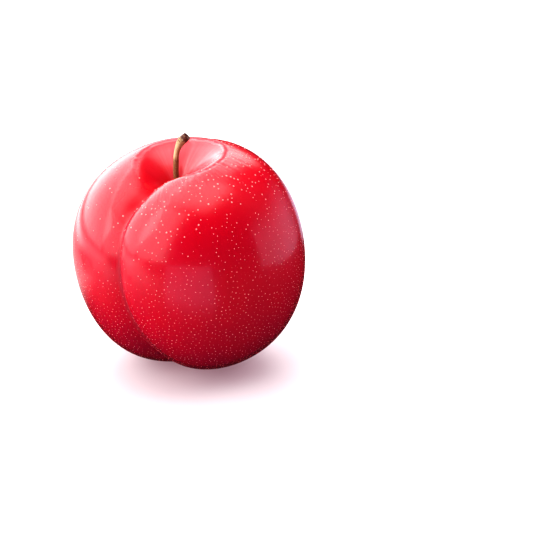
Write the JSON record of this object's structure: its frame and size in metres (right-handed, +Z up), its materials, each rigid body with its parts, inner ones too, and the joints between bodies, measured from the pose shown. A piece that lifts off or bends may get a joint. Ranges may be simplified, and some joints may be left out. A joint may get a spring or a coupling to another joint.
{
  "type": "plum",
  "caption": "Whole ripe red plum, round and slightly lopsided, with a clear suture, a stalk hollow and a short bent stalk, resting on a small flat spot.",
  "frame": {"origin": "middle of the small flat spot that the fruit rests on, at table level", "axes": "+Z up; -Y towards the viewer with the suture facing down and to the left; +X to the right"},
  "size_m": [0.0626, 0.062, 0.0651],
  "materials": {
    "skin": "taut glossy red fruit skin, darker crimson below, with fine pale dots",
    "stalk": "dry olive-brown stalk, finely ribbed, dark at its broken end"
  },
  "bodies": {
    "root": {"fruit": "skin", "stalk": "stalk"}
  },
  "joints": []
}
